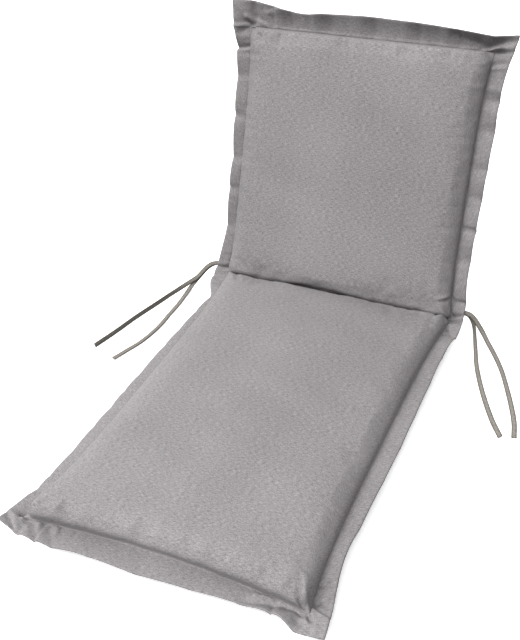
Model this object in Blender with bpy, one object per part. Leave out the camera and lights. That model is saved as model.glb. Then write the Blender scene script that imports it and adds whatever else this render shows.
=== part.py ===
"""Garden chair cushion: two filled sections, a sewn fold between them, a flat flange and tie tapes.

Metres, +Z up. The seat section lies flat on the surface, and the back section rises from the
sewn fold at its rear. The origin is the middle of the seat section's flat underside.
"""
import math
from collections import namedtuple

import bpy
import numpy as np
from mathutils import Vector

MM = 0.001

# Sewn outline, from seam to seam
SEAT_LENGTH = 0.669
BACK_LENGTH = 0.457
SEAM_HALF_WIDTH = 0.2155
SEAT_SIDE_DRAW = 0.0145
BACK_SIDE_DRAW = 0.0085
FRONT_DRAW = 0.013
FOLD_Y = 0.330
BACK_SLOPE = math.radians(70.0)

# Filled depth on each side of the flange plane, and how far in from a seam it is reached
UNDER_DEPTH = 0.027
OVER_DEPTH = 0.0185
CROWN = 0.010
SIDE_REACH = 0.021
END_REACH = 0.013
SIDE_ROUNDNESS = 2.2
CORNER_CUT = 0.012
CORNER_SHARPNESS = 3.0
FOLD_FACE_SLOPE = 1.28
FOLD_ROUNDING = 0.004

# Flange
FLANGE_THICKNESS = 0.003
FLANGE_BEND = 0.030
CREASE_DEPTH = 0.0032
CREASE_MEAN = 0.4
CREASE_FADE = 0.020
BILLOW_FULLNESS = 0.6

# Tie tapes
TAPE_WIDTH = 0.008
TAPE_THICKNESS = 0.0014
TAPE_STEP = 0.009

# Mesh steps
ROW_STEP = 0.0135
SIDE_STEPS = (0.0, 0.002, 0.006, 0.0125, 0.021, 0.033)
ACROSS_SHARES = (0.32, 0.66, 1.0)
FLANGE_SHARES = (0.5, 1.0)
CREASE_CLEARANCE = 0.006

# Outer edge of the flange along both sides, in millimetres. Along runs from the front of the
# seat, below 0, past the fold at 0, and up the back. Lift is towards the filled side's face.
Edge = namedtuple("Edge", "along left right left_lift right_lift")
SIDE_EDGE = (
    Edge(-690, 243, 246, 9, 3),
    Edge(-640, 235, 237, 4, 1),
    Edge(-600, 230, 229, 1, 0),
    Edge(-554, 229, 224, -1, -1),
    Edge(-500, 228, 226, -1, 0),
    Edge(-368, 226, 229, 0, -1),
    Edge(-188, 223, 229, -1, 0),
    Edge(-105, 219, 229, 0, 0),
    Edge(-76, 217, 231, 2, 1),
    Edge(-52, 229, 234, 1, 2),
    Edge(-30, 239, 236, 0, 0),
    Edge(0, 241, 237, 0, 0),
    Edge(28, 236, 237, 3, 3),
    Edge(79, 228, 233, 5, 5),
    Edge(180, 227, 234, 6, 6),
    Edge(324, 230, 237, 6, 6),
    Edge(403, 234, 238, 7, 7),
    Edge(440, 240, 243, 9, 9),
    Edge(475, 250, 252, 12, 10),
)

# Outer edge of the flange across the front and the top, in millimetres
End = namedtuple("End", "across along lift")
FRONT_EDGE = (
    End(-243, -690, 11),
    End(-208, -696, 2),
    End(-169, -697, -2),
    End(-100, -694, -1),
    End(-31, -694, -3),
    End(65, -690, -2),
    End(142, -687, 0),
    End(180, -689, 3),
    End(212, -699, -1),
    End(246, -699, 3),
)
TOP_EDGE = (
    End(-252, 500, 12),
    End(-215, 500, 10),
    End(-163, 491, 10),
    End(-124, 485, 8),
    End(-67, 488, 9),
    End(5, 491, 10),
    End(77, 487, 9),
    End(140, 483, 8),
    End(205, 478, 9),
    End(228, 480, 10),
    End(252, 487, 11),
)

# Creases across the side flanges, where they are, in millimetres along, and how deep
Crease = namedtuple("Crease", "along share")
LEFT_CREASES = (
    Crease(-612, 0.9), Crease(-585, 0.7), Crease(-527, 0.6), Crease(-465, 0.9),
    Crease(-417, 0.8), Crease(-375, 0.7), Crease(-328, 0.6), Crease(-240, 0.7),
    Crease(-190, 0.5), Crease(-130, 0.7), Crease(-78, 1.0), Crease(-10, 0.8),
    Crease(97, 0.8), Crease(170, 0.8), Crease(223, 1.0), Crease(305, 1.0),
    Crease(371, 0.7), Crease(419, 0.8),
)
RIGHT_CREASES = (
    Crease(-650, 0.6), Crease(-612, 0.9), Crease(-513, 1.0), Crease(-415, 0.6),
    Crease(-340, 0.7), Crease(-262, 0.5), Crease(-180, 0.6), Crease(-105, 0.8),
    Crease(-41, 1.0), Crease(40, 0.9), Crease(113, 0.9), Crease(166, 1.0),
    Crease(220, 0.8), Crease(270, 0.8), Crease(333, 0.9), Crease(378, 0.8),
)

# Routes of the tie tapes, in millimetres, from the side seam behind the flange, over its edge
# and along the surface. Turn is the angle of the tape's width from level, in degrees.
Point = namedtuple("Point", "x y z turn")
TIES = {
    "tie_left_long": (
        Point(-217.5, 339.3, 44.9, 70), Point(-227, 338.7, 45.1, 68), Point(-237, 337.9, 45.6, 62),
        Point(-243.5, 334.8, 46.2, 58), Point(-251, 330.8, 45.3, 54), Point(-259.1, 325.0, 40, 50),
        Point(-266.1, 318.8, 32, 48), Point(-273.4, 312.4, 23, 50), Point(-287.5, 300.2, 13.5, 58),
        Point(-299.2, 284.1, 7.5, 64), Point(-310.7, 254.7, 5.0, 70), Point(-319.1, 226.6, 4.4, 70),
        Point(-335.1, 167.8, 4.4, 70), Point(-344.4, 125.5, 4.4, 68), Point(-358.7, 70.1, 4.4, 64),
    ),
    "tie_left_short": (
        Point(-217.5, 341.3, 44.2, 70), Point(-227, 340.7, 44.3, 68), Point(-237, 339.9, 44.7, 62),
        Point(-244, 337.0, 44.8, 58), Point(-252, 333.0, 42.4, 54), Point(-260.3, 327.3, 36.4, 50),
        Point(-267.4, 321.6, 28.0, 46), Point(-275, 315.6, 18.0, 38), Point(-281.8, 305.0, 8.5, 22),
        Point(-283.4, 277.5, 2.6, 8), Point(-281.7, 242.0, 1.5, 4), Point(-282.0, 207.8, 1.3, 4),
        Point(-281.4, 171.9, 1.3, 4), Point(-284.1, 141.5, 1.3, 4), Point(-291.1, 106.9, 1.3, 4),
        Point(-300.0, 81.2, 1.3, 4), Point(-310.2, 52.3, 1.3, 4),
    ),
    "tie_right_outer": (
        Point(217.5, 339.0, 45.0, 110), Point(226, 338.0, 45.4, 111), Point(235, 336.6, 46.2, 115),
        Point(240.5, 336.4, 46.3, 118), Point(247.5, 337.0, 44.3, 122), Point(255.3, 336.6, 38, 125),
        Point(264.5, 333.9, 28, 127), Point(273.8, 329.8, 17.5, 128), Point(283.7, 320.8, 9, 130),
        Point(299.5, 299.2, 4.8, 132), Point(323.0, 257.4, 4.0, 134), Point(343.9, 208.6, 3.9, 140),
        Point(359.1, 169.3, 3.2, 152), Point(370.5, 136.0, 1.8, 170), Point(377.9, 101.7, 1.3, 176),
    ),
    "tie_right_inner": (
        Point(217.5, 340.9, 44.3, 110), Point(226, 339.9, 44.6, 111), Point(235, 338.5, 45.2, 114),
        Point(240.5, 338.6, 44.6, 112), Point(247.0, 339.4, 40.4, 108), Point(252.2, 339.4, 32, 106),
        Point(255.9, 337.4, 22.5, 108), Point(258.8, 332.9, 13.5, 116), Point(262.5, 322.2, 7.8, 126),
        Point(268.1, 303.5, 4.8, 134), Point(283.0, 252.1, 3.8, 142), Point(302.2, 201.6, 3.5, 146),
        Point(319.9, 162.6, 3.3, 148), Point(340.5, 122.7, 3.0, 150), Point(358.1, 94.6, 2.9, 152),
    ),
}

# Colours and finish of the two cloths
COVER_COLOUR = (0.305, 0.294, 0.288, 1.0)
TAPE_COLOUR = (0.235, 0.230, 0.215, 1.0)
CLOTH_ROUGHNESS = 0.92


def column(table, name):
    """One named column of a table, as a list."""
    return [row._asdict()[name] for row in table]


def curve_value(places, values, at):
    """Height, at a place, of a smooth curve through the given points."""
    places = np.asarray(places, dtype=float)
    values = np.asarray(values, dtype=float)
    slopes = np.gradient(values, places)
    at = min(max(at, places[0]), places[-1])
    index = int(np.searchsorted(places, at, side="right")) - 1
    index = min(max(index, 0), len(places) - 2)
    span = places[index + 1] - places[index]
    share = (at - places[index]) / span
    square = share * share
    cube = square * share
    start = (2 * cube - 3 * square + 1) * values[index]
    end = (3 * square - 2 * cube) * values[index + 1]
    start_slope = (cube - 2 * square + share) * span * slopes[index]
    end_slope = (cube - square) * span * slopes[index + 1]
    return start + end + start_slope + end_slope


def table_value(table, place, name, at):
    """A table's named column at a place given in metres, as metres."""
    return curve_value(column(table, place), column(table, name), at / MM) * MM


def seam_half_width(along):
    """Half the width between the side seams, drawn in between the corners."""
    if along < 0:
        share = 2 * -along / SEAT_LENGTH - 1
        return SEAM_HALF_WIDTH - SEAT_SIDE_DRAW * (1 - share ** 4)
    share = 2 * along / BACK_LENGTH - 1
    return SEAM_HALF_WIDTH - BACK_SIDE_DRAW * (1 - share ** 4)


def front_seam(across_share):
    """Distance from the fold to the front seam, drawn in between the corners."""
    return SEAT_LENGTH - FRONT_DRAW * (1 - across_share * across_share)


def fold_path(along, bend):
    """Point and normal of the flange plane at a distance from the fold, as (y, z) pairs."""
    slope_y = math.cos(BACK_SLOPE)
    slope_z = math.sin(BACK_SLOPE)
    if abs(along) < bend:
        share = (along + bend) / (2 * bend)
        point_y = -bend * (1 - share) ** 2 + bend * slope_y * share ** 2
        point_z = bend * slope_z * share ** 2
        tangent = Vector((0.0, (1 - share) + slope_y * share, slope_z * share)).normalized()
    elif along < 0 or (along == 0 and bend == 0):
        point_y = along
        point_z = 0.0
        tangent = Vector((0.0, 1.0, 0.0))
    else:
        point_y = along * slope_y
        point_z = along * slope_z
        tangent = Vector((0.0, slope_y, slope_z))
    if along == 0 and bend == 0:
        tangent = Vector((0.0, math.cos(BACK_SLOPE / 2), math.sin(BACK_SLOPE / 2)))
    normal = Vector((0.0, -tangent.z, tangent.y))
    return Vector((0.0, FOLD_Y + point_y, UNDER_DEPTH + point_z)), normal


def side_share(distance, reach):
    """Share of the full depth that the filling has at a distance from a seam."""
    inward = 1 - min(max(distance / reach, 0.0), 1.0)
    return (1 - inward ** SIDE_ROUNDNESS) ** (1 / SIDE_ROUNDNESS)


def least(shares):
    """A soft least of several shares that is exactly 1 where all of them are 1."""
    total = sum(max(share, 0.001) ** -CORNER_SHARPNESS for share in shares)
    return (total - (len(shares) - 1)) ** (-1 / CORNER_SHARPNESS)


def pad_depths(across, along, end_distance, fold_distance):
    """Depths of the filling over and under the flange plane inside the seams."""
    half = seam_half_width(along)
    side_distance = half - abs(across)
    corner_distance = side_distance + min(end_distance, fold_distance) - CORNER_CUT
    shares = [
        side_share(side_distance, SIDE_REACH),
        side_share(end_distance, END_REACH),
        side_share(fold_distance, SIDE_REACH),
        side_share(corner_distance, SIDE_REACH),
    ]
    under = UNDER_DEPTH * least(shares)
    length = SEAT_LENGTH if along < 0 else BACK_LENGTH
    middle = 2 * abs(along) / length - 1
    crown = CROWN * max(1 - (across / half) ** 4, 0.0) * max(1 - middle ** 4, 0.0)
    over = (OVER_DEPTH + crown) * least(shares)
    fold_limit = FOLD_FACE_SLOPE * fold_distance
    gap = fold_limit - over
    over = (fold_limit + over - math.sqrt(gap * gap + FOLD_ROUNDING ** 2) + FOLD_ROUNDING) / 2
    return min(max(over, 0.0), fold_limit), under


def billow(along, creases):
    """Share of the crease depth that a side flange dips by: 1 in a crease, less between."""
    places = [crease.along * MM for crease in creases]
    for start, end in zip(creases[:-1], creases[1:]):
        if start.along * MM <= along <= end.along * MM:
            share = (along - start.along * MM) / ((end.along - start.along) * MM)
            depth = start.share + (end.share - start.share) * share
            return depth * (1 - max(math.sin(math.pi * share), 0.0) ** BILLOW_FULLNESS)
    distance = min(abs(along - places[0]), abs(along - places[-1]))
    return max(1 - distance / CREASE_FADE, 0.0)


def side_edge(side, along):
    """Outer edge of a side flange: its distance from the middle and its lift."""
    if side < 0:
        out = table_value(SIDE_EDGE, "along", "left", along)
        lift = table_value(SIDE_EDGE, "along", "left_lift", along)
        dip = billow(along, LEFT_CREASES)
    else:
        out = table_value(SIDE_EDGE, "along", "right", along)
        lift = table_value(SIDE_EDGE, "along", "right_lift", along)
        dip = billow(along, RIGHT_CREASES)
    return side * out, lift + CREASE_DEPTH * (CREASE_MEAN - dip)


def end_edge(table, across):
    """Outer edge of the front or top flange: its place along and its lift."""
    along = table_value(table, "across", "along", across)
    return along, table_value(table, "across", "lift", across)


def pad_columns():
    """Places across one half of a section as (fixed distance from the seam, share of the rest)."""
    near = [(step, 0.0) for step in SIDE_STEPS]
    far = [(SIDE_STEPS[-1], share) for share in ACROSS_SHARES]
    return near + far


def row_distances(length, creases):
    """Distances from the fold of the rows of one section, with a row in every crease."""
    first = SIDE_STEPS[-1]
    count = round((length - 2 * first) / ROW_STEP)
    inner = [first + (length - 2 * first) * step / count for step in range(1, count)]
    marks = []
    for mark in sorted(creases):
        if first + CREASE_CLEARANCE < mark < length - first - CREASE_CLEARANCE:
            if not marks or mark - marks[-1] > CREASE_CLEARANCE:
                marks.append(mark)
    inner = [place for place in inner if all(abs(place - mark) > CREASE_CLEARANCE for mark in marks)]
    ends = [length - step for step in reversed(SIDE_STEPS)]
    return list(SIDE_STEPS) + sorted(inner + marks) + ends


def crease_places(sign):
    """Distances from the fold of the creases on the seat, sign -1, or on the back, sign 1."""
    both = LEFT_CREASES + RIGHT_CREASES
    return [abs(crease.along) * MM for crease in both if crease.along * sign > 0]


def lifted(across, along, lift, bend):
    """The two faces of the flange at a place, as (upper point, lower point)."""
    base, normal = fold_path(along, bend)
    middle = base + Vector((across, 0.0, 0.0)) + normal * lift
    half = normal * (FLANGE_THICKNESS / 2)
    return middle + half, middle - half


def pad_pair(side, step, share, distance, length, sign):
    """The upper and lower points of the filling for one column and one row."""
    guess = sign * distance
    half = seam_half_width(guess)
    across = side * (half - step) * (1 - share)
    reach = length
    if sign < 0:
        reach = front_seam(across / half)
    along = guess * reach / length
    half = seam_half_width(along)
    across = side * (half - step) * (1 - share)
    over, under = pad_depths(across, along, reach - abs(along), abs(along))
    base, normal = fold_path(along, 0.0)
    base = base + Vector((across, 0.0, 0.0))
    skin = FLANGE_THICKNESS / 2
    if step == 0 or distance in (0.0, length):
        return base + normal * skin, base - normal * skin
    under_depth = max(under, skin)
    return base + normal * (skin + over), base - normal * under_depth


def flange_pair(side, share, along):
    """The upper and lower points of a side flange at a share of its width."""
    out, lift = side_edge(side, along)
    seam = side * seam_half_width(along)
    across = seam + (out - seam) * share
    return lifted(across, along, lift * share, FLANGE_BEND * share)


def end_pair(side, step, share, out_share, table, sign):
    """The upper and lower points of the front or top flange inside the side seams."""
    across = side * (SEAM_HALF_WIDTH - step) * (1 - share)
    seam_along = BACK_LENGTH
    if sign < 0:
        seam_along = -front_seam(across / SEAM_HALF_WIDTH)
    edge_along, lift = end_edge(table, across)
    along = seam_along + (edge_along - seam_along) * out_share
    return lifted(across, along, lift * out_share, 0.0)


def corner_pair(side, side_out, end_out, table, sign):
    """The upper and lower points of a flange corner, between two seams' ends and its tip."""
    seam_along = BACK_LENGTH if sign > 0 else -SEAT_LENGTH
    out, side_lift = side_edge(side, seam_along)
    edge_along, end_lift = end_edge(table, side * SEAM_HALF_WIDTH)
    tip = table[0] if side < 0 else table[-1]
    tip_across = tip.across * MM
    tip_along = tip.along * MM
    tip_lift = tip.lift * MM
    seam = side * SEAM_HALF_WIDTH
    weights = (
        (1 - side_out) * (1 - end_out),
        side_out * (1 - end_out),
        (1 - side_out) * end_out,
        side_out * end_out,
    )
    across = np.dot(weights, (seam, out, seam, tip_across))
    along = np.dot(weights, (seam_along, seam_along, edge_along, tip_along))
    lift = np.dot(weights, (0.0, side_lift, end_lift, tip_lift))
    return lifted(float(across), float(along), float(lift), 0.0)


def section_row(distance, length, sign):
    """One row of point pairs from the left edge of the flange to the right one."""
    along = sign * distance
    columns = pad_columns()
    row = [flange_pair(-1, share, along) for share in reversed(FLANGE_SHARES)]
    row += [pad_pair(-1, step, share, distance, length, sign) for step, share in columns]
    row += [pad_pair(1, step, share, distance, length, sign) for step, share in reversed(columns[:-1])]
    row += [flange_pair(1, share, along) for share in FLANGE_SHARES]
    return row


def end_row(out_share, table, sign):
    """One row of point pairs across the front or top flange and its two corners."""
    columns = pad_columns()
    row = [corner_pair(-1, share, out_share, table, sign) for share in reversed(FLANGE_SHARES)]
    row += [end_pair(-1, step, share, out_share, table, sign) for step, share in columns]
    row += [end_pair(1, step, share, out_share, table, sign) for step, share in reversed(columns[:-1])]
    row += [corner_pair(1, share, out_share, table, sign) for share in FLANGE_SHARES]
    return row


def cushion_rows():
    """All rows of the cushion from the front edge over the fold to the top edge."""
    seat = row_distances(SEAT_LENGTH, crease_places(-1))
    back = row_distances(BACK_LENGTH, crease_places(1))
    rows = [end_row(share, FRONT_EDGE, -1) for share in reversed(FLANGE_SHARES)]
    rows += [section_row(distance, SEAT_LENGTH, -1) for distance in reversed(seat)]
    rows += [section_row(distance, BACK_LENGTH, 1) for distance in back[1:]]
    rows += [end_row(share, TOP_EDGE, 1) for share in FLANGE_SHARES]
    return rows


def closed_mesh(name, rows):
    """A closed mesh from rows of point pairs: an upper face, a lower face and a rim."""
    height = len(rows)
    width = len(rows[0])
    points = [pair[0] for row in rows for pair in row]
    points += [pair[1] for row in rows for pair in row]
    below = height * width
    faces = []
    for row in range(height - 1):
        for place in range(width - 1):
            first = row * width + place
            corner = (first, first + 1, first + width + 1, first + width)
            faces.append(corner)
            faces.append(tuple(below + index for index in reversed(corner)))
    loop = list(range(width))
    loop += [row * width + width - 1 for row in range(1, height)]
    loop += [(height - 1) * width + place for place in range(width - 2, -1, -1)]
    loop += [row * width for row in range(height - 2, 0, -1)]
    for start, end in zip(loop, loop[1:] + loop[:1]):
        faces.append((start, below + start, below + end, end))
    mesh = bpy.data.meshes.new(name)
    mesh.from_pydata(points, [], faces)
    mesh.update()
    return mesh


def tape_stations(points):
    """Places along a tape's route at an even step, as (place, turn in radians) pairs."""
    spots = [Vector((point.x, point.y, point.z)) * MM for point in points]
    turns = [math.radians(point.turn) for point in points]
    runs = [0.0]
    for start, end in zip(spots, spots[1:]):
        runs.append(runs[-1] + (end - start).length)
    count = round(runs[-1] / TAPE_STEP)
    stations = []
    for step in range(count + 1):
        at = runs[-1] * step / count
        place = [curve_value(runs, [spot[axis] for spot in spots], at) for axis in range(3)]
        stations.append((Vector(place), curve_value(runs, turns, at)))
    return stations


def tape_mesh(name, points):
    """A closed flat tape swept along its route."""
    stations = tape_stations(points)
    up = Vector((0.0, 0.0, 1.0))
    corners = []
    for index, (place, turn) in enumerate(stations):
        before = stations[max(index - 1, 0)][0]
        after = stations[min(index + 1, len(stations) - 1)][0]
        ahead = (after - before).normalized()
        level = ahead.cross(up).normalized()
        steep = level.cross(ahead)
        wide = level * math.cos(turn) + steep * math.sin(turn)
        thick = ahead.cross(wide) * (TAPE_THICKNESS / 2)
        wide = wide * (TAPE_WIDTH / 2)
        corners += [place - wide - thick, place + wide - thick, place + wide + thick, place - wide + thick]
    faces = [(3, 2, 1, 0)]
    for index in range(len(stations) - 1):
        first = 4 * index
        for corner in range(4):
            other = (corner + 1) % 4
            faces.append((first + corner, first + other, first + 4 + other, first + 4 + corner))
    last = 4 * (len(stations) - 1)
    faces.append((last, last + 1, last + 2, last + 3))
    mesh = bpy.data.meshes.new(name)
    mesh.from_pydata(corners, [], faces)
    mesh.update()
    return mesh


def cloth_material(name, colour):
    """A matt woven cloth."""
    material = bpy.data.materials.new(name)
    material.use_nodes = True
    shader = material.node_tree.nodes["Principled BSDF"]
    shader.inputs["Base Color"].default_value = colour
    shader.inputs["Roughness"].default_value = CLOTH_ROUGHNESS
    shader.inputs["Metallic"].default_value = 0.0
    material.diffuse_color = colour
    return material


def add_object(name, mesh, material):
    """An object in the scene with one material and smooth faces."""
    item = bpy.data.objects.new(name, mesh)
    bpy.context.scene.collection.objects.link(item)
    mesh.materials.append(material)
    mesh.shade_smooth()
    return item


def clear_scene():
    """Remove every object of the scene."""
    for item in list(bpy.data.objects):
        bpy.data.objects.remove(item, do_unlink=True)


def main():
    clear_scene()
    cover = cloth_material("cover_cloth", COVER_COLOUR)
    tape = cloth_material("tie_tape", TAPE_COLOUR)
    add_object("cushion", closed_mesh("cushion", cushion_rows()), cover)
    for name, points in TIES.items():
        mesh = tape_mesh(name, points)
        add_object(name, mesh, tape)


main()
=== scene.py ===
"""Garden chair cushion: the sewn cover, its stitches and its tie tapes, in a plain pale studio.

Metres, +Z up. The seat section lies flat on the floor and the back section rises from the sewn
fold at its rear. Sizes on the cloth are given across and along: along is measured from the
fold, below 0 on the seat and above 0 on the back.
"""
import math
from collections import namedtuple

import bpy
import numpy as np
from mathutils import Matrix, Vector


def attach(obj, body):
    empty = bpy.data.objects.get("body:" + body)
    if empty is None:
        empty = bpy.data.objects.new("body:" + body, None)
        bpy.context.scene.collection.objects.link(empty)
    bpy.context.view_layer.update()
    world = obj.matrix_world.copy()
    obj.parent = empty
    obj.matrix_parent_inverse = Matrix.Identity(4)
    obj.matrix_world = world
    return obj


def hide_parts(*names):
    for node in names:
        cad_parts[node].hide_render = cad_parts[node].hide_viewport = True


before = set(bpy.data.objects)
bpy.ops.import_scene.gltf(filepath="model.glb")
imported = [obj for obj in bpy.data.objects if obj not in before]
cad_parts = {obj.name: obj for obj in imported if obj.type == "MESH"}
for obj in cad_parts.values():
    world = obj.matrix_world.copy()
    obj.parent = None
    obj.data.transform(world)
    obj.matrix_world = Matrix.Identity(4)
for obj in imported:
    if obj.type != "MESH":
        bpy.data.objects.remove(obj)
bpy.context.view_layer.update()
MM = 0.001

# Sewn outline, from seam to seam
SEAT_LENGTH = 0.669
BACK_LENGTH = 0.457
SEAM_HALF_WIDTH = 0.2155
SEAT_SIDE_DRAW = 0.0145
BACK_SIDE_DRAW = 0.0085
FRONT_DRAW = 0.013
FOLD_Y = 0.330
BACK_SLOPE = math.radians(70.0)

# Filled depth on each side of the flange plane, and the form of the filling's walls
UNDER_DEPTH = 0.027
OVER_DEPTH = 0.0185
CROWN = 0.010
SIDE_REACH = 0.021
END_REACH = 0.0078
SIDE_ROUNDNESS = 2.2
END_ROUNDNESS = 3.4
CORNER_CUT = 0.012
CORNER_SHARPNESS = 3.0
WALL_BULGE = 0.0012
FRONT_BELLY = 0.0320  # the front wall stands out by 4/27 of this at most
BULGE_START = 0.08
FOLD_FACE_SLOPE = 1.28
FOLD_ROUNDING = 0.004
FOLD_CLEARANCE = 0.0004

# Flange: doubled cloth, pressed thin at the seam and slack between the seam and its edge
SEAM_SKIN = 0.0008
FLANGE_SKIN = 0.0017
SKIN_TURN = 0.93
SKIN_FULLNESS = 0.6
RIM_ROUNDING = 0.0011
FLANGE_BEND = 0.030
TOP_LEAN = 1.9
SIDE_BILLOW = 0.0092
FRONT_BILLOW = 0.0060
TOP_BILLOW = 0.0095
SEAT_SLACK_SHARE = 0.45
SEAT_SLACK_BLEND = 0.040
SLACK_START = 0.5
BILLOW_MEAN = 0.4
BILLOW_FADE = 0.020
BILLOW_FULLNESS = 0.55

# Lip of cloth along the top seam, with waves like the puckers' but longer
LIP_HEIGHT = 0.0017
LIP_PLACE = 0.0024
LIP_WIDTH = 0.0016
LIP_MEAN = 0.75
LIP_WAVE = 0.45
LIP_STRETCH = 0.31

# Single folds: form of the crest, how far a fold runs on past its ends and where it dips, in its
# own widths, how much the stated heights are raised, and the calm towards the flange's edge
FOLD_CREST = 1.3
FOLD_RUN_ON = 1.3
FOLD_DIP_PLACE = 1.7
FOLD_STRENGTH = 1.35
EDGE_CALM = 0.55

# Mesh steps: beside a seam they follow the filling's rounded profile, in degrees of its turn,
# and the rest are metres, apart from the shares of the flange's width
Steps = namedtuple("Steps", "side_turns end_turns fold_places corner middle along out")
FINE = Steps(
    side_turns=(0, 8, 16, 25, 34, 44, 54, 65, 77, 90),
    end_turns=(0, 3, 7, 12, 18, 25, 33, 42, 52, 64, 77, 90),
    fold_places=(
        0.0, 0.0012, 0.0028, 0.0048, 0.0070, 0.0094, 0.0120, 0.0150, 0.0185, 0.0225, 0.0270, 0.0315,
    ),
    corner=0.0024,
    middle=0.0046,
    along=0.0050,
    out=(0.04, 0.09, 0.15, 0.22, 0.30, 0.39, 0.49, 0.60, 0.71, 0.82, 0.92, 1.0),
)
COARSE = Steps(
    side_turns=(0, 30, 60, 90),
    end_turns=(0, 25, 55, 90),
    fold_places=(0.0, 0.0060, 0.0130, 0.0210, 0.0280),
    corner=0.0070,
    middle=0.0075,
    along=0.0072,
    out=(0.25, 0.5, 0.75, 1.0),
)
SEAM_ZONE = 0.035
CORNER_ZONE = 0.078
END_ZONE = 0.060
FOLD_ZONE = 0.050
FLANGE_ROOM = 0.04

# Outer edge of the flange along both sides, in millimetres. Lift is towards the filled face.
Edge = namedtuple("Edge", "along left right left_lift right_lift")
SIDE_EDGE = (
    Edge(-690, 243, 246, 9, 3),
    Edge(-640, 235, 237, 4, 1),
    Edge(-600, 230, 229, 1, 0),
    Edge(-554, 229, 224, -1, -1),
    Edge(-500, 228, 226, -1, 0),
    Edge(-368, 226, 229, 0, -1),
    Edge(-188, 223, 229, -1, 0),
    Edge(-105, 219, 229, 0, 0),
    Edge(-76, 217, 231, 2, 1),
    Edge(-52, 229, 234, 1, 2),
    Edge(-30, 239, 236, 0, 0),
    Edge(0, 241, 237, 0, 0),
    Edge(28, 236, 237, 3, 3),
    Edge(79, 228, 233, 5, 5),
    Edge(180, 227, 234, 6, 6),
    Edge(324, 230, 237, 6, 6),
    Edge(403, 234, 238, 7, 7),
    Edge(440, 240, 243, 9, 9),
    Edge(475, 250, 252, 12, 10),
)

# Outer edge of the flange across the front and the top, in millimetres
End = namedtuple("End", "across along lift")
FRONT_EDGE = (
    End(-243, -690, 11),
    End(-208, -696, 2),
    End(-169, -697, -2),
    End(-100, -694, -1),
    End(-31, -694, -3),
    End(65, -690, -2),
    End(142, -687, 0),
    End(180, -689, 3),
    End(212, -699, -1),
    End(246, -699, 3),
)
TOP_EDGE = (
    End(-252, 500, 12),
    End(-215, 501, 16),
    End(-185, 497, 9),
    End(-150, 491, 18),
    End(-118, 487, 10),
    End(-80, 490, 19),
    End(-38, 492, 11),
    End(5, 493, 19),
    End(45, 492, 12),
    End(88, 491, 21),
    End(125, 489, 15),
    End(160, 487, 25),
    End(205, 483, 18),
    End(228, 482, 19),
    End(252, 487, 11),
)

# Creases across the flanges: where they are, in millimetres along a side or across an end, how
# deep, and the skew of the slack cloth after them: below 1 it swells at once, above 1 late
Crease = namedtuple("Crease", "along share skew")
LEFT_CREASES = (
    Crease(-612, 0.9, 1.5), Crease(-585, 0.7, 0.7), Crease(-527, 0.6, 1.6), Crease(-465, 0.9, 0.6),
    Crease(-417, 0.8, 1.4), Crease(-375, 0.7, 0.7), Crease(-328, 0.6, 1.5), Crease(-240, 0.7, 0.7),
    Crease(-190, 0.5, 1.4), Crease(-130, 0.7, 0.6), Crease(-78, 1.0, 1.5), Crease(-10, 0.8, 0.6),
    Crease(97, 0.8, 1.5), Crease(170, 0.8, 0.7), Crease(223, 1.0, 1.6), Crease(305, 1.0, 0.6),
    Crease(371, 0.7, 1.4), Crease(419, 0.8, 1.0),
)
RIGHT_CREASES = (
    Crease(-650, 0.6, 1.4), Crease(-612, 0.9, 0.7), Crease(-513, 1.0, 1.5), Crease(-415, 0.6, 0.7),
    Crease(-340, 0.7, 1.4), Crease(-262, 0.5, 0.7), Crease(-180, 0.6, 1.5), Crease(-105, 0.8, 0.7),
    Crease(-41, 1.0, 1.3), Crease(40, 0.9, 0.6), Crease(113, 0.9, 1.6), Crease(166, 1.0, 0.6),
    Crease(220, 0.8, 1.4), Crease(270, 0.8, 0.7), Crease(333, 0.9, 1.5), Crease(378, 0.8, 1.0),
)
TOP_CREASES = (
    Crease(-205, 0.6, 1.0), Crease(-172, 1.0, 0.6), Crease(-139, 0.6, 1.5), Crease(-104, 0.8, 0.7),
    Crease(-66, 0.9, 1.4), Crease(-31, 0.5, 0.7), Crease(14, 0.8, 1.5), Crease(58, 0.6, 0.6),
    Crease(91, 0.9, 1.4), Crease(124, 0.6, 0.7), Crease(158, 1.0, 1.6), Crease(196, 0.7, 0.7),
    Crease(226, 0.9, 1.0),
)
FRONT_CREASES = (
    Crease(-206, 0.8, 1.0), Crease(-180, 0.9, 0.7), Crease(-153, 0.7, 1.5), Crease(-96, 0.3, 0.8),
    Crease(-22, 0.4, 1.3), Crease(61, 0.3, 0.8), Crease(128, 0.5, 1.4), Crease(170, 0.9, 0.7),
    Crease(202, 0.8, 1.0),
)

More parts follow.
